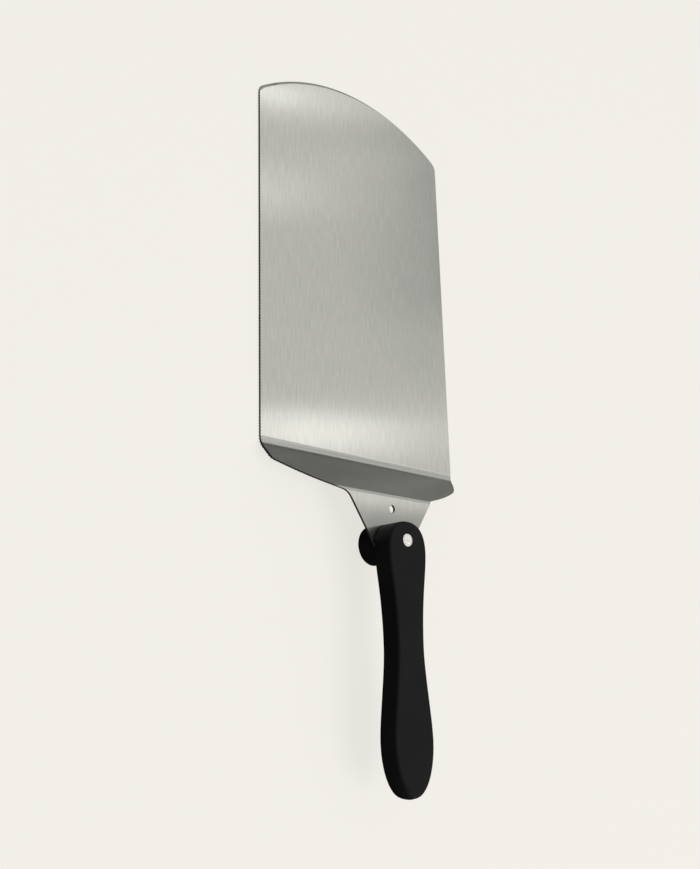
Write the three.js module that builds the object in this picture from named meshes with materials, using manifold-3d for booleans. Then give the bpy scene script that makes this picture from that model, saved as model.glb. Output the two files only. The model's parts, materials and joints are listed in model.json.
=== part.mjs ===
// Folding pizza server: a cranked steel blade with one toothed side, and a grip that swings about a bolt.
// Millimetres, +Z up. The server lies on its plate with the tip towards +Y and the grip over the tang.
// Reaches are distances along Y from the pivot axis.
import * as THREE from 'three';
import { mergeVertices } from 'three/addons/utils/BufferGeometryUtils.js';
import Module from 'manifold-3d';

const wasm = await Module();
wasm.setup();

// Blade: one pressed sheet with a flat plate, a sloping crank and a flat tang
const sheet = 1.1;
const plateLength = 185.3;
const heelWidth = 126.3;
const tipWidth = 122.8;
const tipRadius = 114.5;
const tipCornerRadius = 5;
const toothedHeelRadius = 2;
const smoothHeelRadius = 15;
const shoulderRadius = 150;
const shoulderReach = 18.8;
const shoulderOffset = 3.9;
const crankRun = 18;
const crankRise = 15.9;
const plateBendRadius = 7.5;
const tangBendRadius = 3;
const tangBendReach = 21.6;
const tangHalfAngle = THREE.MathUtils.degToRad(35);
const tangEndRadius = 10.25;
const tangOffset = 0.55;
const toothedRootRadius = 8;
const smoothRootRadius = 3.5;
const hangHoleDiameter = 3.6;
const hangHoleOffset = 1.3;
const hangHoleReach = 15.5;
const toothPitch = 1.4;
const toothDepth = 0.45;
const tipGrindAngle = THREE.MathUtils.degToRad(20);
const tipGrindWidth = 0.7;
const tipGrindOffset = 2;

// Grip: a flat slab with a waist, rounded along both faces
const gripThickness = 9.6;
const gripEdgeRadius = 0.9;
const gripHeadReach = 8.35;
const headWidth = 23.8;
const headBelow = 4.8;
const waistWidth = 16.4;
const waistBelow = 46;
const lobeWidth = 24.3;
const lobeBelow = 86;
const gripEndBelow = 108.8;

// Clamp: bolt, washers, knob and its threaded insert, all on the pivot axis
const boltDiameter = 4;
const boltHeadOverhang = 1.05;
const boltHeadHeight = 2.2;
const boltChamfer = 0.3;
const boltRimWidth = 0.7;
const boltDish = 0.2;
const boltNeckHeight = 2.4;
const boltTail = 1;
const washerWidth = 3;
const washerThickness = 0.8;
const frictionWasherWidth = 3.6;
const frictionWasherThickness = 0.8;
const springThickness = 0.4;
const springWave = 0.3;
const springWaves = 3;
const knobDiameter = 17.8;
const knobHeight = 11;
const knobEdgeRadius = 1;
const knobDish = 0.6;
const insertWall = 1.6;
const insertLength = 5.5;

// Clearances: stacked faces, parts beside each other, and a part that swings past another
const seatGap = 0.1;
const sideGap = 0.2;
const swingGap = 0.35;

// How far a cutting solid runs past the face that it cuts
const overcut = 1;

// Facets of the curves
const arcSteps = 9;
const bendSteps = 5;
const gripCurveSteps = 14;
const gripEdgeSteps = 4;
const knobEdgeSteps = 4;
const dishSteps = 4;
const roundSteps = 48;
const grindSteps = 192;

// Places that follow from the sizes
const plateBendReach = tangBendReach + crankRun;
const tipReach = plateBendReach + plateLength;
const tangTop = crankRise + sheet;
const gripUnderside = tangTop + swingGap;
const gripFace = gripUnderside + gripThickness;
const boltRadius = boltDiameter / 2;
const boltHoleRadius = boltRadius + sideGap;
const boltHeadRadius = boltRadius + boltHeadOverhang;
const frictionWasherRadius = boltHoleRadius + frictionWasherWidth;
const frictionWasherUnderside = tangTop + seatGap;
const washerRadius = boltHoleRadius + washerWidth;
const washerUnderside = crankRise - seatGap - washerThickness;
const springHalfHeight = springThickness / 2 + springWave;
const springMiddle = washerUnderside - seatGap - springHalfHeight;
const knobRecessFloor = springMiddle - springHalfHeight - seatGap;
const knobUnderside = crankRise - swingGap - knobHeight;
const insertRadius = boltHoleRadius + insertWall;
const insertUnderside = knobRecessFloor - insertLength;
const boltEnd = insertUnderside - boltTail;

// Solids: welded meshes that can be joined, cut and intersected
const weldDistance = 1e-4;

function solidOf(geometry) {
  const bare = geometry.clone();
  bare.deleteAttribute('normal');
  bare.deleteAttribute('uv');
  const welded = mergeVertices(bare, weldDistance);
  const corners = welded.index.array;
  const kept = [];
  for (let i = 0; i < corners.length; i += 3) {
    const [a, b, c] = corners.slice(i, i + 3);
    const isTriangle = a !== b && b !== c && c !== a;
    if (isTriangle) kept.push(a, b, c);
  }
  return new wasm.Manifold(new wasm.Mesh({
    numProp: 3,
    vertProperties: welded.attributes.position.array,
    triVerts: new Uint32Array(kept),
  }));
}

function geometryOf(solid) {
  const mesh = solid.getMesh();
  const geometry = new THREE.BufferGeometry();
  geometry.setAttribute('position', new THREE.BufferAttribute(mesh.vertProperties, 3));
  geometry.setIndex(new THREE.BufferAttribute(mesh.triVerts, 1));
  geometry.computeVertexNormals();
  return geometry;
}

// An outline stood up along Z from one height to another
function prism(shape, low, high, options = {}) {
  const geometry = new THREE.ExtrudeGeometry(shape, {
    depth: high - low,
    bevelEnabled: false,
    curveSegments: roundSteps,
    ...options,
  });
  return solidOf(geometry.translate(0, 0, low));
}

// A profile of [radius, height] points turned about the pivot axis
function turned(profile, steps) {
  const points = profile.map(([radius, height]) => new THREE.Vector2(radius, height));
  return new THREE.LatheGeometry(points, steps).rotateX(Math.PI / 2);
}

function revolve(profile) {
  return solidOf(turned(profile, roundSteps));
}

function disc(radius, low, high) {
  return revolve([[0, low], [radius, low], [radius, high], [0, high]]);
}

// A flat ring that stands on z = 0
function ring(inner, outer, height) {
  return revolve([[inner, 0], [outer, 0], [outer, height], [inner, height], [inner, 0]]);
}

// Plan outline of the blade: arcs joined by straight edges, with each half drawn on the right-hand side

// Where a straight line crosses a circle: way is -1 for the first crossing and 1 for the last
function crossing(start, direction, centre, radius, way) {
  const along = centre.clone().sub(start).dot(direction);
  const aside = start.clone().addScaledVector(direction, along).distanceTo(centre);
  const half = Math.sqrt(radius ** 2 - aside ** 2);
  return start.clone().addScaledVector(direction, along + way * half);
}

function towards(from, to, distance) {
  return to.clone().sub(from).setLength(distance).add(from);
}

function addArc(path, centre, from, to, clockwise = false) {
  const startAngle = from.clone().sub(centre).angle();
  const endAngle = to.clone().sub(centre).angle();
  path.absarc(centre.x, centre.y, from.distanceTo(centre), startAngle, endAngle, clockwise);
}

const minStep = 0.01;

function pointsAlong(path, steps) {
  const points = path.getPoints(steps);
  return points.filter((point, i) => i === 0 || point.distanceTo(points[i - 1]) > minStep);
}

// The tang's edges slope at one angle
const tangEdge = new THREE.Vector2(Math.sin(tangHalfAngle), Math.cos(tangHalfAngle));
const tangNormal = new THREE.Vector2(tangEdge.y, -tangEdge.x);

// The plate's side runs from the heel corner to the tip corner, and the tip is one wide arc
const heel = new THREE.Vector2(heelWidth / 2, plateBendReach);
const side = new THREE.Vector2(tipWidth / 2, tipReach).sub(heel).normalize();
const sideNormal = new THREE.Vector2(side.y, -side.x);
const tipCentre = new THREE.Vector2(0, tipReach - tipRadius);
const tipCorner = crossing(
  heel.clone().addScaledVector(sideNormal, -tipCornerRadius),
  side,
  tipCentre,
  tipRadius - tipCornerRadius,
  1,
);

// The tang's round end and the shoulder have centres off the axis, with an inside radius between them
function bladeHalf(tangAside, shoulderAside, rootRadius, heelRadius) {
  const tangCentre = new THREE.Vector2(tangAside, 0);
  const tangTouch = tangCentre.clone().addScaledVector(tangNormal, tangEndRadius);
  const shoulderCentre = new THREE.Vector2(shoulderAside, shoulderReach + shoulderRadius);
  const rootCentre = crossing(
    tangTouch.clone().addScaledVector(tangNormal, rootRadius),
    tangEdge,
    shoulderCentre,
    shoulderRadius + rootRadius,
    -1,
  );
  const heelCentre = crossing(
    heel.clone().addScaledVector(sideNormal, -heelRadius),
    side,
    shoulderCentre,
    shoulderRadius - heelRadius,
    -1,
  );
  const tangEnd = new THREE.Vector2(tangAside, -tangEndRadius);
  const rootOnTang = rootCentre.clone().addScaledVector(tangNormal, -rootRadius);
  const rootOnShoulder = towards(shoulderCentre, rootCentre, shoulderRadius);
  const heelOnShoulder = towards(shoulderCentre, heelCentre, shoulderRadius);
  const heelOnSide = heelCentre.clone().addScaledVector(sideNormal, heelRadius);
  const tipOnSide = tipCorner.clone().addScaledVector(sideNormal, tipCornerRadius);
  const cornerOnTip = towards(tipCentre, tipCorner, tipRadius);
  const tang = new THREE.Path();
  addArc(tang, tangCentre, tangEnd, tangTouch);
  addArc(tang, rootCentre, rootOnTang, rootOnShoulder, true);
  const plate = new THREE.Path();
  addArc(plate, shoulderCentre, rootOnShoulder, heelOnShoulder);
  addArc(plate, heelCentre, heelOnShoulder, heelOnSide);
  addArc(plate, tipCorner, tipOnSide, cornerOnTip);
  addArc(plate, tipCentre, cornerOnTip, new THREE.Vector2(0, tipReach));
  return { tang, plate };
}

// Saw teeth along a path: points to the right of it and gullets to the left
function toothed(path) {
  const count = Math.round(path.getLength() / toothPitch);
  const points = [];
  for (let i = 0; i <= 2 * count; i += 1) {
    const at = i / (2 * count);
    const tangent = path.getTangent(at);
    const outward = new THREE.Vector2(tangent.y, -tangent.x);
    const rise = i % 2 === 0 ? toothDepth / 2 : -toothDepth / 2;
    points.push(path.getPoint(at).addScaledVector(outward, rise));
  }
  return points;
}

function mirrored(points) {
  return points.map((point) => new THREE.Vector2(-point.x, point.y)).reverse();
}

function roundHole(radius, x, y) {
  return new THREE.Path().absarc(x, y, radius, 0, 2 * Math.PI);
}

// The shoulders are one arc, centred towards the toothed side, and the tang and its hole lie the other way
function bladePlan() {
  const smooth = bladeHalf(tangOffset, -shoulderOffset, smoothRootRadius, smoothHeelRadius);
  const sawn = bladeHalf(-tangOffset, shoulderOffset, toothedRootRadius, toothedHeelRadius);
  const outline = [
    ...pointsAlong(smooth.tang, arcSteps),
    ...pointsAlong(smooth.plate, arcSteps),
    ...mirrored(toothed(sawn.plate)),
    ...mirrored(pointsAlong(sawn.tang, arcSteps)),
  ];
  const distinct = outline.filter((point, i) => point.distanceTo(outline.at(i - 1)) > minStep);
  const plan = new THREE.Shape(distinct);
  plan.holes.push(roundHole(boltHoleRadius, 0, 0));
  plan.holes.push(roundHole(hangHoleDiameter / 2, hangHoleOffset, hangHoleReach));
  return plan;
}

// Side profile of the sheet, with x along the blade and y up
function addRoundedCorner(path, before, corner, after, radius) {
  const back = before.clone().sub(corner).normalize();
  const onward = after.clone().sub(corner).normalize();
  const halfAngle = Math.acos(back.dot(onward)) / 2;
  const reach = radius / Math.tan(halfAngle);
  const centre = towards(corner, corner.clone().add(back).add(onward), radius / Math.sin(halfAngle));
  const turnsRight = back.cross(onward) > 0;
  const from = corner.clone().addScaledVector(back, reach);
  const to = corner.clone().addScaledVector(onward, reach);
  addArc(path, centre, from, to, turnsRight);
}

function sheetProfile() {
  const slope = Math.atan2(crankRise, crankRun);
  const lag = sheet * Math.tan(slope / 2);
  const tangEnd = -tangEndRadius - overcut;
  const plateEnd = tipReach + overcut;
  const underside = [
    new THREE.Vector2(tangEnd, crankRise),
    new THREE.Vector2(tangBendReach - lag, crankRise),
    new THREE.Vector2(plateBendReach - lag, 0),
    new THREE.Vector2(plateEnd, 0),
  ];
  const upside = [
    new THREE.Vector2(plateEnd, sheet),
    new THREE.Vector2(plateBendReach, sheet),
    new THREE.Vector2(tangBendReach, tangTop),
    new THREE.Vector2(tangEnd, tangTop),
  ];
  const path = new THREE.Path();
  addRoundedCorner(path, underside[0], underside[1], underside[2], tangBendRadius);
  addRoundedCorner(path, underside[1], underside[2], underside[3], plateBendRadius + sheet);
  path.lineTo(underside[3].x, underside[3].y);
  path.lineTo(upside[0].x, upside[0].y);
  addRoundedCorner(path, upside[0], upside[1], upside[2], plateBendRadius);
  addRoundedCorner(path, upside[1], upside[2], upside[3], tangBendRadius + sheet);
  path.lineTo(upside[3].x, upside[3].y);
  path.lineTo(underside[0].x, underside[0].y);
  return new THREE.Shape(pointsAlong(path, bendSteps));
}

// What is ground off the tip: a cone about an axis off the tip's own, so the slope dies out to one side
function tipGrind() {
  const start = tipRadius - tipGrindWidth;
  const end = tipRadius + tipGrindOffset + overcut;
  const slope = Math.tan(tipGrindAngle);
  const high = [start - overcut, sheet + overcut * slope];
  const low = [end, sheet - (end - start) * slope];
  const cone = turned([high, low, [end, high[1]], high], grindSteps);
  return solidOf(cone.translate(tipGrindOffset, tipCentre.y, 0));
}

// The pressed sheet: the side profile run across the blade, trimmed to the plan and ground at the tip
function blade() {
  const across = new THREE.ExtrudeGeometry(sheetProfile(), { depth: 2 * heelWidth, bevelEnabled: false });
  const alongY = new THREE.Vector3(0, 1, 0);
  const alongZ = new THREE.Vector3(0, 0, 1);
  const alongX = new THREE.Vector3(1, 0, 0);
  across.translate(0, 0, -heelWidth);
  across.applyMatrix4(new THREE.Matrix4().makeBasis(alongY, alongZ, alongX));
  const pressed = solidOf(across).intersect(prism(bladePlan(), -overcut, tangTop + overcut));
  return pressed.subtract(tipGrind());
}

// Grip outline: full round head, waist and lobe, drawn down the right side and up the left
const roundHandle = 0.5523;
const headHandle = 0.66;
const headToWaist = [0.21, 0.53];
const waistToLobe = [0.31, 0.25];

function gripOutline() {
  const head = headWidth / 2;
  const waist = waistWidth / 2;
  const lobe = lobeWidth / 2;
  const headRise = gripHeadReach + headBelow;
  const endDrop = gripEndBelow - lobeBelow;
  const toWaist = headToWaist.map((share) => share * (waistBelow - headBelow));
  const toLobe = waistToLobe.map((share) => share * (lobeBelow - waistBelow));
  const right = [
    [head * headHandle, gripHeadReach, head, headRise * headHandle - headBelow, head, -headBelow],
    [head, -headBelow - toWaist[0], waist, -waistBelow + toWaist[1], waist, -waistBelow],
    [waist, -waistBelow - toLobe[0], lobe, -lobeBelow + toLobe[1], lobe, -lobeBelow],
    [lobe, -lobeBelow - endDrop * roundHandle, lobe * roundHandle, -gripEndBelow, 0, -gripEndBelow],
  ];
  const half = new THREE.Path();
  half.moveTo(0, gripHeadReach);
  right.forEach((handles) => half.bezierCurveTo(...handles));
  const points = half.getPoints(gripCurveSteps);
  return new THREE.Shape([...points, ...mirrored(points).slice(1, -1)].reverse());
}

// The grip stands on z = 0, cut out for the bolt's head and square neck and for the friction washer
function grip() {
  const slab = prism(gripOutline(), gripEdgeRadius, gripThickness - gripEdgeRadius, {
    bevelEnabled: true,
    bevelThickness: gripEdgeRadius,
    bevelSize: gripEdgeRadius,
    bevelOffset: -gripEdgeRadius,
    bevelSegments: gripEdgeSteps,
  });
  const headSeat = gripThickness - boltHeadHeight - seatGap;
  const washerSeat = frictionWasherUnderside + frictionWasherThickness + seatGap - gripUnderside;
  const through = disc(boltHoleRadius, -overcut, gripThickness);
  const counterbore = disc(boltHeadRadius + sideGap, headSeat, gripThickness + overcut);
  const pocketFloor = headSeat - boltNeckHeight - seatGap;
  const pocket = squareNeck(boltDiameter + 2 * sideGap, pocketFloor, headSeat + seatGap);
  const washerRecess = disc(frictionWasherRadius + sideGap, -overcut, washerSeat);
  return slab.subtract(through).subtract(counterbore).subtract(pocket).subtract(washerRecess);
}

function squareNeck(width, low, high) {
  return solidOf(new THREE.BoxGeometry(width, width, high - low).translate(0, 0, (low + high) / 2));
}

// A shallow dish in a face at z = 0, from its rim in to the axis
function dish(radius, depth) {
  const points = [];
  for (let i = 0; i <= dishSteps; i += 1) {
    const share = 1 - i / dishSteps;
    points.push([share * radius, -depth * (1 - share ** 2)]);
  }
  return points;
}

// The bolt hangs from its dished face at z = 0, and its square neck makes it turn with the grip
function pivotBolt() {
  const headSeat = -boltHeadHeight;
  const end = boltEnd - gripFace;
  const shank = revolve([
    [0, end],
    [boltRadius - boltChamfer, end],
    [boltRadius, end + boltChamfer],
    [boltRadius, headSeat],
    [boltHeadRadius, headSeat],
    [boltHeadRadius, -boltChamfer],
    [boltHeadRadius - boltChamfer, 0],
    ...dish(boltHeadRadius - boltRimWidth, boltDish),
  ]);
  return shank.add(squareNeck(boltDiameter, headSeat - boltNeckHeight, headSeat + seatGap));
}

function frictionWasher() {
  return ring(boltHoleRadius, frictionWasherRadius, frictionWasherThickness);
}

function steelWasher() {
  return ring(boltHoleRadius, washerRadius, washerThickness);
}

// A wave washer about z = 0: a flat ring whose height follows a cosine round the axis
function springWasher() {
  const half = springThickness / 2;
  const profile = [
    new THREE.Vector2(boltHoleRadius, -half),
    new THREE.Vector2(washerRadius, -half),
    new THREE.Vector2(washerRadius, half),
    new THREE.Vector2(boltHoleRadius, half),
    new THREE.Vector2(boltHoleRadius, -half),
  ];
  const geometry = new THREE.LatheGeometry(profile, roundSteps).rotateX(Math.PI / 2);
  const corners = geometry.attributes.position;
  for (let i = 0; i < corners.count; i += 1) {
    const angle = Math.atan2(corners.getY(i), corners.getX(i));
    corners.setZ(i, corners.getZ(i) + springWave * Math.cos(springWaves * angle));
  }
  return solidOf(geometry);
}

// A quarter round on the knob's rim, about a circle at the given height
function knobRim(height, startAngle) {
  const middle = knobDiameter / 2 - knobEdgeRadius;
  const points = [];
  for (let i = 0; i <= knobEdgeSteps; i += 1) {
    const angle = startAngle + (i / knobEdgeSteps) * (Math.PI / 2);
    points.push([middle + knobEdgeRadius * Math.cos(angle), height + knobEdgeRadius * Math.sin(angle)]);
  }
  return points;
}

// The knob stands on z = 0, dished below, with a recess for the washers and a blind bore for insert and bolt
function clampKnob() {
  const body = revolve([
    [0, knobDish],
    ...knobRim(knobEdgeRadius, -Math.PI / 2),
    ...knobRim(knobHeight - knobEdgeRadius, 0),
    [0, knobHeight],
  ]);
  const recessFloor = knobRecessFloor - knobUnderside;
  const insertFloor = insertUnderside - seatGap - knobUnderside;
  const boltFloor = boltEnd - seatGap - knobUnderside;
  const washerRecess = disc(washerRadius + sideGap, recessFloor, knobHeight + overcut);
  const insertBore = disc(insertRadius + seatGap, insertFloor, knobHeight);
  const boltBore = disc(boltHoleRadius, boltFloor, knobHeight);
  return body.subtract(washerRecess).subtract(insertBore).subtract(boltBore);
}

function knobInsert() {
  return ring(boltHoleRadius, insertRadius, insertLength);
}

// Materials
const brushedSteel = new THREE.MeshStandardMaterial({ color: 0xb4b4ae, roughness: 0.34, metalness: 1 });
const polishedSteel = new THREE.MeshStandardMaterial({ color: 0xd8d8d4, roughness: 0.2, metalness: 1 });
const springSteel = new THREE.MeshStandardMaterial({ color: 0x8e8f90, roughness: 0.3, metalness: 1 });
const brass = new THREE.MeshStandardMaterial({ color: 0xb89a55, roughness: 0.35, metalness: 1 });
const gripBlack = new THREE.MeshStandardMaterial({ color: 0x19191a, roughness: 0.55, metalness: 0 });
const knobBlack = new THREE.MeshStandardMaterial({ color: 0x141415, roughness: 0.5, metalness: 0 });
const nylon = new THREE.MeshStandardMaterial({ color: 0xe6e3da, roughness: 0.6, metalness: 0 });

// Assembly: each group lies on the pivot axis, and the origin is under the middle of the whole server
const server = new THREE.Group();
const swing = new THREE.Group();
const clamp = new THREE.Group();
server.position.y = (gripEndBelow - tipReach) / 2;
server.add(swing, clamp);

function place(group, name, solid, material, height) {
  const mesh = new THREE.Mesh(geometryOf(solid), material);
  mesh.name = name;
  mesh.position.z = height;
  group.add(mesh);
}

place(server, 'blade', blade(), brushedSteel, 0);
place(swing, 'grip', grip(), gripBlack, gripUnderside);
place(swing, 'pivot_bolt', pivotBolt(), polishedSteel, gripFace);
place(swing, 'friction_washer', frictionWasher(), nylon, frictionWasherUnderside);
place(clamp, 'steel_washer', steelWasher(), polishedSteel, washerUnderside);
place(clamp, 'spring_washer', springWasher(), springSteel, springMiddle);
place(clamp, 'clamp_knob', clampKnob(), knobBlack, knobUnderside);
place(clamp, 'knob_insert', knobInsert(), brass, insertUnderside);

export default server;
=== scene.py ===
"""Looks of a folding pizza server: a brushed steel blade and a black grip on a clamped pivot.

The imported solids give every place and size, and each visible piece is a finer mesh made from its solid.
Metres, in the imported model's own frame: +Y runs from the grip to the tip, +Z up out of the plate.
"""

import json
import math

import bmesh
import bpy
from mathutils import Matrix, Vector

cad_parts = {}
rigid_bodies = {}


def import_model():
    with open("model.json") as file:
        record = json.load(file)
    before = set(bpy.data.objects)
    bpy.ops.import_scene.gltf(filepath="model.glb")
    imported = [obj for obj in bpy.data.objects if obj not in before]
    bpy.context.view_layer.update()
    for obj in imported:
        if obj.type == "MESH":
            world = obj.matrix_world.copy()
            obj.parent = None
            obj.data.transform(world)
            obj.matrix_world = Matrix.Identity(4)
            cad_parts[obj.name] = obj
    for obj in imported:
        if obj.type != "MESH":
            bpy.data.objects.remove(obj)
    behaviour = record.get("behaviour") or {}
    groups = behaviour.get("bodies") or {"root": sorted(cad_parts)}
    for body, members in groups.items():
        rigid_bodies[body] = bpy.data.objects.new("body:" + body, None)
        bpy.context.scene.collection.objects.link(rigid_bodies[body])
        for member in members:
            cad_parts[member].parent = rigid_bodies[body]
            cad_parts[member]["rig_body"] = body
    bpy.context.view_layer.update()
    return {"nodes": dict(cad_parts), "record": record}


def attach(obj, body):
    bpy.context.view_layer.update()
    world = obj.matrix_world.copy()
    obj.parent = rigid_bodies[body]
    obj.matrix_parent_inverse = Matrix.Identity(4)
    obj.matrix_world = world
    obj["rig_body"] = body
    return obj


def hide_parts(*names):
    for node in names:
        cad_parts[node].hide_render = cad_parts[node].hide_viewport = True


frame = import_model()

MM = 0.001
RECORD = frame["record"]
FOLD = next(joint["pos_m"] for joint in RECORD["behaviour"]["joints"] if joint["name"] == "fold")
SERVING_FACE = next(mount["pos_m"] for mount in RECORD["mounts"] if mount["name"] == "serving_face")
TANG_TOP = FOLD[2]
PLATE_TOP = SERVING_FACE[2]


def add_object(name, data):
    made = bpy.data.objects.new(name, data)
    bpy.context.scene.collection.objects.link(made)
    return made


# Node graphs

# Most of a noise lies between these two values
NOISE_LOW = 0.3
NOISE_HIGH = 0.7
# A wave texture of scale 1 turns through this many radians in a unit of length
WAVE_RADIANS = 20.0


def set_inputs(tree, node, inputs):
    """Gives a node's inputs, by name or by place, their values or the sockets that feed them."""
    for name, value in inputs.items():
        if isinstance(value, bpy.types.NodeSocket):
            tree.links.new(value, node.inputs[name])
        else:
            node.inputs[name].default_value = value


def add_node(tree, kind, inputs=None, **settings):
    made = tree.nodes.new(kind)
    for name, value in settings.items():
        setattr(made, name, value)
    set_inputs(tree, made, inputs or {})
    return made


def calculate(tree, operation, first, second):
    return add_node(tree, "ShaderNodeMath", {0: first, 1: second}, operation=operation).outputs["Value"]


def mix_shaders(tree, share, first, second):
    """The first shader, with a share of the second."""
    return add_node(tree, "ShaderNodeMixShader", {0: share, 1: first, 2: second}).outputs["Shader"]


def new_material(name):
    """A material, with the tree and the shader that it starts with."""
    material = bpy.data.materials.new(name)
    material.use_nodes = True
    tree = material.node_tree
    return material, tree, tree.nodes["Principled BSDF"]


def object_noise(tree, repeats, detail):
    """Noise in the object's own coordinates, with so many repeats to a metre along X, Y and Z."""
    place = add_node(tree, "ShaderNodeTexCoord").outputs["Object"]
    mapped = add_node(tree, "ShaderNodeMapping", {"Vector": place, "Scale": repeats})
    inputs = {"Vector": mapped.outputs["Vector"], "Scale": 1.0, "Detail": detail}
    return add_node(tree, "ShaderNodeTexNoise", inputs).outputs["Fac"]


def pivot_rings(tree, pitch):
    """Rings about the pivot axis, a pitch apart."""
    place = add_node(tree, "ShaderNodeTexCoord").outputs["Object"]
    to_axis = (-FOLD[0], -FOLD[1], 0.0)
    mapped = add_node(tree, "ShaderNodeMapping", {"Vector": place, "Location": to_axis})
    inputs = {"Vector": mapped.outputs["Vector"], "Scale": 2.0 * math.pi / (WAVE_RADIANS * pitch)}
    return add_node(tree, "ShaderNodeTexWave", inputs, wave_type="RINGS", rings_direction="Z").outputs["Fac"]


def spread(tree, noise, low, high):
    """Maps a noise to a range of numbers."""
    inputs = {"Value": noise, "From Min": NOISE_LOW, "From Max": NOISE_HIGH, "To Min": low, "To Max": high}
    return add_node(tree, "ShaderNodeMapRange", inputs).outputs["Result"]


def two_tones(tree, noise, dark, light):
    """Colours a noise between two tones."""
    ramp = add_node(tree, "ShaderNodeValToRGB", {"Fac": noise})
    first, last = ramp.color_ramp.elements
    first.position = NOISE_LOW
    first.color = (*dark, 1.0)
    last.position = NOISE_HIGH
    last.color = (*light, 1.0)
    return ramp.outputs["Color"]


def bump(tree, height, depth, below=None):
    """Normals bent by a height of this depth, on top of any other normals given."""
    inputs = {"Height": height, "Distance": depth}
    if below is not None:
        inputs["Normal"] = below
    return add_node(tree, "ShaderNodeBump", inputs).outputs["Normal"]


# Materials

BRUSH_MAP = "brush"
# How far the roughness of turned metal varies
TURNED_SPREAD = 0.1


def brushed_steel():
    """Stainless sheet brushed along its length, so its gloss spreads across the blade."""
    material, tree, shader = new_material("brushed_steel")
    strokes = object_noise(tree, repeats=(1500.0, 110.0, 0.0), detail=3.0)
    hairlines = object_noise(tree, repeats=(5000.0, 90.0, 0.0), detail=1.0)
    handling = object_noise(tree, repeats=(22.0, 9.0, 20.0), detail=2.0)
    tangent = add_node(tree, "ShaderNodeTangent", direction_type="UV_MAP", uv_map=BRUSH_MAP)
    grain = bump(tree, strokes, depth=0.003 * MM)
    look = {
        "Base Color": two_tones(tree, strokes, dark=(0.5, 0.515, 0.5), light=(0.565, 0.58, 0.565)),
        "Roughness": spread(tree, handling, low=0.15, high=0.19),
        "Metallic": 1.0,
        "Anisotropic": 0.93,
        "Tangent": tangent.outputs["Tangent"],
        "Normal": bump(tree, hairlines, depth=0.002 * MM, below=grain),
    }
    set_inputs(tree, shader, look)
    return material


def cut_steel(name, dark, light):
    """A sheared or ground edge of the sheet: duller than its faces, with fine lines across it. Its two tones
    are given; on the sheared walls they are partly painted shade.
    """
    material, tree, shader = new_material(name)
    lines = object_noise(tree, repeats=(1500.0, 1500.0, 250.0), detail=3.0)
    look = {
        "Base Color": two_tones(tree, lines, dark, light),
        "Roughness": spread(tree, lines, low=0.3, high=0.42),
        "Metallic": 1.0,
        "Normal": bump(tree, lines, depth=0.01 * MM),
    }
    set_inputs(tree, shader, look)
    return material


def matte_black(name, dark, light):
    """Black moulded plastic with a fine even grain."""
    material, tree, shader = new_material(name)
    grain = object_noise(tree, repeats=(2600.0, 2600.0, 2600.0), detail=2.0)
    cloud = object_noise(tree, repeats=(60.0, 60.0, 60.0), detail=2.0)
    look = {
        "Base Color": two_tones(tree, cloud, dark, light),
        "Roughness": spread(tree, grain, low=0.42, high=0.56),
        "Specular IOR Level": 0.1,
        "Normal": bump(tree, grain, depth=0.03 * MM),
    }
    set_inputs(tree, shader, look)
    return material


def turned_metal(name, dark, light, roughness):
    """Bright metal with the fine rings that turning leaves round the pivot axis."""
    material, tree, shader = new_material(name)
    grain = object_noise(tree, repeats=(5000.0, 5000.0, 5000.0), detail=1.0)
    rings = pivot_rings(tree, pitch=0.2 * MM)
    look = {
        "Base Color": two_tones(tree, grain, dark, light),
        "Roughness": spread(tree, grain, low=roughness, high=roughness + TURNED_SPREAD),
        "Metallic": 1.0,
        "Normal": bump(tree, rings, depth=0.002 * MM),
    }
    set_inputs(tree, shader, look)
    return material


def natural_nylon():
    """Cloudy off-white nylon."""
    material, tree, shader = new_material("natural_nylon")
    cloud = object_noise(tree, repeats=(400.0, 400.0, 400.0), detail=2.0)
    look = {
        "Base Color": two_tones(tree, cloud, dark=(0.72, 0.7, 0.62), light=(0.8, 0.78, 0.71)),
        "Roughness": spread(tree, cloud, low=0.5, high=0.6),
        "Normal": bump(tree, cloud, depth=0.01 * MM),
    }
    set_inputs(tree, shader, look)
    return material


# Pieces

# Points nearer to each other than this are one
WELD = 0.001 * MM
FLAT_ANGLE = math.radians(0.5)
SHARP_ANGLE = math.radians(40)
EASE_SEGMENTS = 2
ROUND_PROFILE = 0.5
# The weight at which the largest face at a point sets the normal there
LARGEST_FACE_LEADS = 100


def solid_copy(node):
    """A node's solid as one welded mesh with whole flat faces."""
    mesh = bmesh.new()
    mesh.from_mesh(frame["nodes"][node].data)
    bmesh.ops.remove_doubles(mesh, verts=mesh.verts, dist=WELD)
    bmesh.ops.dissolve_limit(mesh, angle_limit=FLAT_ANGLE, verts=mesh.verts, edges=mesh.edges)
    return mesh


def round_edges(mesh, edges, width):
    bmesh.ops.bevel(
        mesh,
        geom=edges,
        offset=width,
        offset_type="OFFSET",
        segments=EASE_SEGMENTS,
        profile=ROUND_PROFILE,
        affect="EDGES",
        clamp_overlap=True,
    )


def sharp_edges(mesh):
    return [edge for edge in mesh.edges if edge.calc_face_angle() > SHARP_ANGLE]


def finish_piece(name, node, mesh, materials, crease):
    """Makes the finer mesh an object that stands for its node and moves with the node's body."""
    data = bpy.data.meshes.new(name)
    mesh.to_mesh(data)
    mesh.free()
    data.shade_smooth()
    data.set_sharp_from_angle(angle=crease)
    for material in materials:
        data.materials.append(material)
    made = add_object(name, data)
    weighted = made.modifiers.new("flat_faces_stay_flat", "WEIGHTED_NORMAL")
    weighted.keep_sharp = True
    weighted.weight = LARGEST_FACE_LEADS
    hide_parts(node)
    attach(made, frame["nodes"][node]["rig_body"])


# Blade

BLADE_EASE = 0.06 * MM
BLADE_CREASE = math.radians(15)
SLOPE_WIDTH = 1.0 * MM
# A face whose normal points up or down by less than this is a cut wall
UPRIGHT = 0.5
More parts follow.
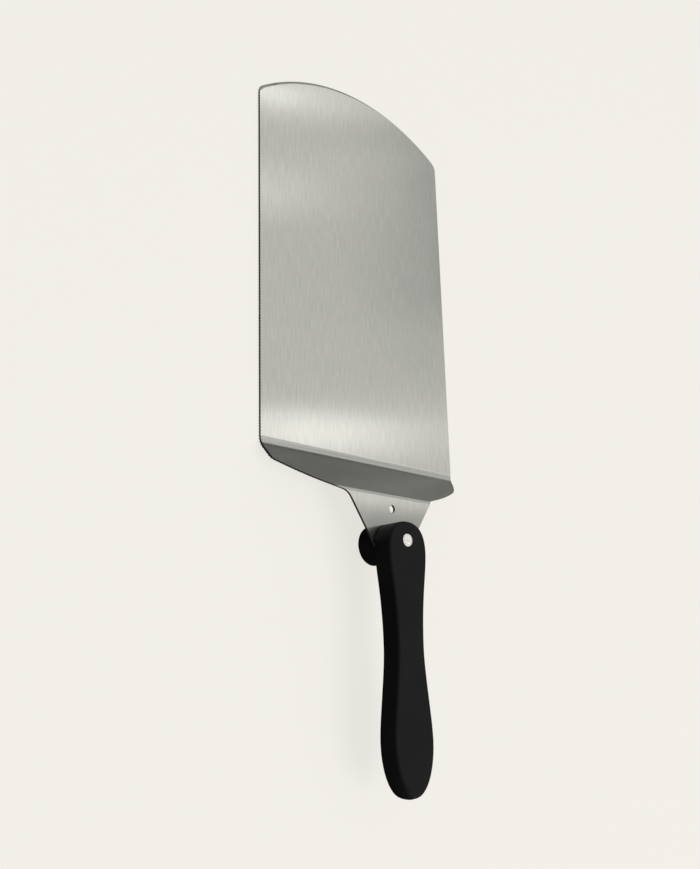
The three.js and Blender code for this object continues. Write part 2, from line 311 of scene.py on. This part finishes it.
# A face whose normal points up by more than this is level
LEVEL = 0.97
# The finishes, by their place among the blade's materials
BRUSHED, SHEARED, GROUND = range(3)


def blade_finish(face):
    """The finish of a face of the sheet: a cut wall, the slope ground along the tip, or brushed."""
    if abs(face.normal.z) < UPRIGHT:
        return SHEARED
    if face.normal.z < LEVEL and face.calc_center_median().y > SERVING_FACE[1]:
        return GROUND
    return BRUSHED


def is_rim(edge):
    """Whether an edge lies between a cut wall of the sheet and another finish."""
    finishes = [blade_finish(face) for face in edge.link_faces]
    return finishes.count(SHEARED) == 1


def between(edge, first, second):
    """Whether an edge lies between these two finishes."""
    return {blade_finish(face) for face in edge.link_faces} == {first, second}


def nearest_on(edges, point):
    """The point of some edges that lies nearest to a point, seen from above."""
    found = []
    for edge in edges:
        start, end = (vert.co.xy for vert in edge.verts)
        along = (point - start).dot(end - start) / (end - start).length_squared
        found.append(start.lerp(end, min(1.0, max(0.0, along))))
    return min(found, key=lambda place: (place - point).length)


def narrow_slope(mesh):
    """Brings the inner line of the slope ground along the tip to within its width of the tip's edge."""
    slope = [face for face in mesh.faces if blade_finish(face) == GROUND]
    bmesh.ops.triangulate(mesh, faces=slope)
    outer = [edge for edge in mesh.edges if between(edge, GROUND, SHEARED)]
    inner = [edge for edge in mesh.edges if between(edge, GROUND, BRUSHED)]
    ends = {vert for edge in outer for vert in edge.verts}
    moved = {vert for edge in inner for vert in edge.verts} - ends
    for vert in moved:
        edge_point = nearest_on(outer, vert.co.xy)
        inward = vert.co.xy - edge_point
        if inward.length > SLOPE_WIDTH:
            vert.co.xy = edge_point + inward.normalized() * SLOPE_WIDTH
    mesh.normal_update()


def make_blade():
    """The sheet, with its slope narrowed, its rim eased and its faces mapped for the brushing."""
    mesh = solid_copy("blade")
    narrow_slope(mesh)
    rim = [edge for edge in mesh.edges if is_rim(edge)]
    round_edges(mesh, rim, BLADE_EASE)
    brush = mesh.loops.layers.uv.new(BRUSH_MAP)
    for face in mesh.faces:
        face.material_index = blade_finish(face)
        for loop in face.loops:
            loop[brush].uv = loop.vert.co.xy
    # The sheared walls are darker than bare steel: partly the dull cut edge, partly painted shade that keeps
    # them dark where they mirror the pale floor.
    walls = cut_steel("sheared_steel_and_painted_shade", dark=(0.2, 0.2, 0.19), light=(0.3, 0.3, 0.29))
    slope = cut_steel("ground_steel", dark=(0.32, 0.32, 0.3), light=(0.42, 0.42, 0.4))
    finish_piece("brushed_blade", "blade", mesh, [brushed_steel(), walls, slope], BLADE_CREASE)


# Grip and clamp

EASE = 0.1 * MM
FINE_EASE = 0.06 * MM
SPRING_EASE = 0.04 * MM
CREASE = math.radians(50)
END_CROWN = 1.0 * MM
CROWN_CUTS = 7


def is_upright(edge):
    """Whether an edge runs straight up."""
    first, second = edge.verts
    return (first.co - second.co).xy.length < WELD


def crown_end(mesh):
    """Rounds the grip's end outwards between its two faces, from the lobe's widest place to the end."""
    lobe = max(mesh.verts, key=lambda vert: abs(vert.co.x)).co.y
    end = min(vert.co.y for vert in mesh.verts)
    low = min(vert.co.z for vert in mesh.verts)
    high = max(vert.co.z for vert in mesh.verts)
    end_wall = [edge for edge in mesh.edges if is_upright(edge) and edge.verts[0].co.y < lobe]
    bmesh.ops.subdivide_edges(mesh, edges=end_wall, cuts=CROWN_CUTS, use_grid_fill=True)
    for vert in mesh.verts:
        past_lobe = max(0.0, (lobe - vert.co.y) / (lobe - end))
        from_middle = (2.0 * vert.co.z - low - high) / (high - low)
        vert.co.y -= END_CROWN * past_lobe**2 * (1.0 - from_middle**2)


def make_eased(name, node, material, width, shape=None):
    """A piece that keeps its solid's form, with its sharp edges eased and any last shaping of its own."""
    mesh = solid_copy(node)
    round_edges(mesh, sharp_edges(mesh), width)
    if shape is not None:
        shape(mesh)
    finish_piece(name, node, mesh, [material], CREASE)


grip_plastic = matte_black("grip_plastic", dark=(0.003, 0.003, 0.0035), light=(0.0045, 0.0045, 0.005))
knob_plastic = matte_black("knob_plastic", dark=(0.003, 0.003, 0.0032), light=(0.005, 0.005, 0.0052))
# The bolt's near-white colour is partly its polished finish, partly a painted highlight: lighter than steel
# is, so that the head shows white.
bright_steel_and_painted_highlight = turned_metal(
    "bright_steel_and_painted_highlight", dark=(0.84, 0.85, 0.83), light=(0.92, 0.93, 0.91), roughness=0.14
)
washer_steel = turned_metal(
    "washer_steel", dark=(0.48, 0.48, 0.48), light=(0.58, 0.58, 0.57), roughness=0.26
)
spring_steel = turned_metal(
    "spring_steel", dark=(0.34, 0.34, 0.36), light=(0.44, 0.44, 0.46), roughness=0.24
)
brass = turned_metal("brass", dark=(0.5, 0.37, 0.15), light=(0.6, 0.46, 0.2), roughness=0.24)

make_blade()
make_eased("moulded_grip", "grip", grip_plastic, EASE, shape=crown_end)
make_eased("bright_bolt", "pivot_bolt", bright_steel_and_painted_highlight, EASE)
make_eased("moulded_knob", "clamp_knob", knob_plastic, EASE)
make_eased("nylon_ring", "friction_washer", natural_nylon(), FINE_EASE)
make_eased("flat_washer", "steel_washer", washer_steel, FINE_EASE)
make_eased("wave_spring", "spring_washer", spring_steel, SPRING_EASE)
make_eased("brass_insert", "knob_insert", brass, FINE_EASE)


# Camera

IMAGE_HEIGHT = 869
FOCAL_PIXELS = 1289.0
# In mm, as a camera counts it
SENSOR_WIDTH = 36.0
NEAREST_SEEN = 10 * MM
CAMERA_PLACE = Vector((-0.4219, -0.1491, 0.396))
CAMERA_FORWARD = Vector((0.702, 0.2416, -0.6699))
CAMERA_UP = Vector((-0.1563, 0.970, 0.1861))


def make_camera():
    """The camera, which looks down on the server from its toothed side."""
    data = bpy.data.cameras.new("camera")
    data.sensor_width = SENSOR_WIDTH
    data.lens = FOCAL_PIXELS * SENSOR_WIDTH / IMAGE_HEIGHT
    data.clip_start = NEAREST_SEEN
    camera = add_object("camera", data)
    back = -CAMERA_FORWARD.normalized()
    right = CAMERA_UP.cross(back).normalized()
    up = back.cross(right)
    turn = Matrix((right, up, back)).transposed()
    camera.matrix_world = Matrix.Translation(CAMERA_PLACE) @ turn.to_4x4()
    bpy.context.scene.camera = camera


# Floor, sky and lamp

PALE = (0.879, 0.855, 0.807, 1.0)
WHITE = (1.0, 1.0, 1.0, 1.0)
FLOOR_DROP = 0.2 * MM
FLOOR_HALF = 3.0
# The share of even light in the floor's look
FLOOR_GLOW = 0.86
SKY_LIGHT = 0.6
KEY_PLACE = Vector((0.7, -1.2, 2.6))
KEY_SIZE = 1.8
KEY_POWER = 50.0


def rectangle(left, right, near, far):
    return [(left, near), (right, near), (right, far), (left, far)]


def add_mesh(name, corners, faces):
    """A mesh of the stage."""
    data = bpy.data.meshes.new(name)
    data.from_pydata(corners, [], faces)
    made = add_object(name, data)
    return made


def seen_directly(tree):
    """1 for what is seen straight or mirrored, and 0 for what lights a surface."""
    path = add_node(tree, "ShaderNodeLightPath").outputs
    return calculate(tree, "MAXIMUM", path["Is Camera Ray"], path["Is Glossy Ray"])


def make_floor():
    """A pale floor just under the server, partly lit by itself so that it looks even."""
    square = rectangle(-FLOOR_HALF, FLOOR_HALF, -FLOOR_HALF, FLOOR_HALF)
    floor = add_mesh("floor", [(x, y, -FLOOR_DROP) for x, y in square], [(0, 1, 2, 3)])
    material, tree, shader = new_material("pale_floor")
    set_inputs(tree, shader, {"Base Color": PALE, "Roughness": 0.9, "Specular IOR Level": 0.0})
    glow = add_node(tree, "ShaderNodeEmission", {"Color": PALE})
    share = calculate(tree, "MULTIPLY", seen_directly(tree), FLOOR_GLOW)
    surface = mix_shaders(tree, share, shader.outputs["BSDF"], glow.outputs["Emission"])
    set_inputs(tree, tree.nodes["Material Output"], {"Surface": surface})
    floor.data.materials.append(material)


def make_world():
    """A sky that looks pale and lights the pieces white."""
    world = bpy.data.worlds.new("studio")
    bpy.context.scene.world = world
    world.use_nodes = True
    tree = world.node_tree
    seen = add_node(tree, "ShaderNodeBackground", {"Color": PALE, "Strength": 1.0})
    lit = add_node(tree, "ShaderNodeBackground", {"Color": WHITE, "Strength": SKY_LIGHT})
    surface = mix_shaders(tree, seen_directly(tree), lit.outputs["Background"], seen.outputs["Background"])
    set_inputs(tree, tree.nodes["World Output"], {"Surface": surface})


def make_key():
    """A square lamp that faces the server and doesn't show mirrored in it."""
    data = bpy.data.lights.new("key", "AREA")
    data.size = KEY_SIZE
    data.energy = KEY_POWER
    lamp = add_object("key", data)
    lamp.location = KEY_PLACE
    lamp.rotation_euler = (-KEY_PLACE).to_track_quat("-Z", "Y").to_euler()
    lamp.visible_camera = False
    lamp.visible_glossy = False


# Cards

CARD_HEIGHT = 0.35
SCREEN_MIDDLE = Vector((0.0, -0.018, 0.0))
SCREEN_DISTANCE = 0.8


def add_card(name, corners, faces, light):
    """A card of even light that only shows mirrored in the pieces."""
    card = add_mesh(name, corners, faces)
    card.visible_camera = False
    card.visible_diffuse = False
    card.visible_shadow = False
    material, tree, _ = new_material(name)
    glow = add_node(tree, "ShaderNodeEmission", {"Color": PALE, "Strength": light})
    set_inputs(tree, tree.nodes["Material Output"], {"Surface": glow.outputs["Emission"]})
    card.data.materials.append(material)


def mirrored_at(x, y, face):
    """Where the camera's ray that glances off a level face at (x, y) passes the height of the cards."""
    behind = Vector((CAMERA_PLACE.x, CAMERA_PLACE.y, 2.0 * face - CAMERA_PLACE.z))
    touch = Vector((x, y, face))
    return behind + (touch - behind) * ((CARD_HEIGHT - behind.z) / (face - behind.z))


def add_overhead(name, face, outline, light):
    """A card over the server that shows mirrored in a level face, with this outline there, in mm."""
    corners = [mirrored_at(x * MM, y * MM, face) for x, y in outline]
    add_card(name, corners, [tuple(range(len(corners)))], light)


def add_screen(name, edges, light):
    """A standing screen round the heel: each edge is an azimuth, a lowest and a highest elevation."""
    corners = []
    for azimuth, lowest, highest in edges:
        around = math.radians(azimuth)
        foot = SCREEN_MIDDLE + SCREEN_DISTANCE * Vector((math.cos(around), math.sin(around), 0.0))
        for elevation in (lowest, highest):
            corners.append(foot + Vector((0.0, 0.0, SCREEN_DISTANCE * math.tan(math.radians(elevation)))))
    faces = [(2 * i, 2 * i + 2, 2 * i + 3, 2 * i + 1) for i in range(len(edges) - 1)]
    add_card(name, corners, faces, light)


def add_mat(name, outline, light):
    """A card that lies on the floor, with this outline, in mm."""
    add_card(name, [(x * MM, y * MM, -FLOOR_DROP / 2.0) for x, y in outline], [(0, 1, 2, 3)], light)


# Light of each card, and its outline in the plate, in mm
PLATE_CARDS = {
    "heel_glow": (2.2, [(-75, -19), (8, -19), (8, 1), (-75, -3)]),
    "heel_glow_right": (1.0, [(8, -19), (80, -19), (80, 8), (8, 1)]),
    "corner_glow": (2.6, [(-110, 134), (-48, 142), (-48, 155), (-64, 149), (-110, 149)]),
    "tip_glow": (1.55, [(-48, 141), (0, 149), (0, 163), (-40, 157), (-48, 155)]),
    "side_glow": (1.7, rectangle(-110, -55, 83, 103)),
    "middle_glow": (1.3, rectangle(-10, 22, 127, 143)),
    "side_shade": (0.26, [(37, 72), (85, 58), (85, 175), (42, 175)]),
    "side_half_shade": (0.6, [(37, 36), (85, 16), (85, 58), (37, 72)]),
}

# Light of each card, and its outline in the tang, in mm
TANG_CARDS = {
    "tang_shade": (0.2, rectangle(-40, 40, -58, -43)),
    "tang_glow": (2.1, rectangle(-40, 40, -41, -36)),
}

# Elevations of the screens' lower and upper edges, in degrees
FOOT = -5
SIDE_TOP = 9
LOW_TOP = 12
HIGH_TOP = 32
# Azimuths between which the top of the lower screens rises, in degrees
RISE_START = 33
RISE_END = 38

# Light of each screen, and its edges: azimuth, lowest and highest elevation
SCREENS = {
    "low_screen": (0.12, [(RISE_END, FOOT, LOW_TOP), (110, FOOT, LOW_TOP)]),
    "side_screen": (0.42, [(-10, FOOT, SIDE_TOP), (RISE_START, FOOT, SIDE_TOP), (RISE_END, FOOT, LOW_TOP)]),
    "high_screen": (
        0.85,
        [
            (26, SIDE_TOP, HIGH_TOP),
            (RISE_START, SIDE_TOP, HIGH_TOP),
            (RISE_END, LOW_TOP, HIGH_TOP),
            (60, LOW_TOP, HIGH_TOP),
        ],
    ),
}

# Light of each mat, and its outline on the floor, in mm
MATS = {
    "dark_mat": (0.03, rectangle(-300, 66, -250, 250)),
    "side_mat": (0.28, rectangle(66, 330, -250, 250)),
}

make_floor()
make_world()
make_camera()
make_key()
for name, (light, outline) in PLATE_CARDS.items():
    add_overhead(name, PLATE_TOP, outline, light)
for name, (light, outline) in TANG_CARDS.items():
    add_overhead(name, TANG_TOP, outline, light)
for name, (light, edges) in SCREENS.items():
    add_screen(name, edges, light)
for name, (light, outline) in MATS.items():
    add_mat(name, outline, light)
bpy.context.scene.view_settings.view_transform = "Standard"
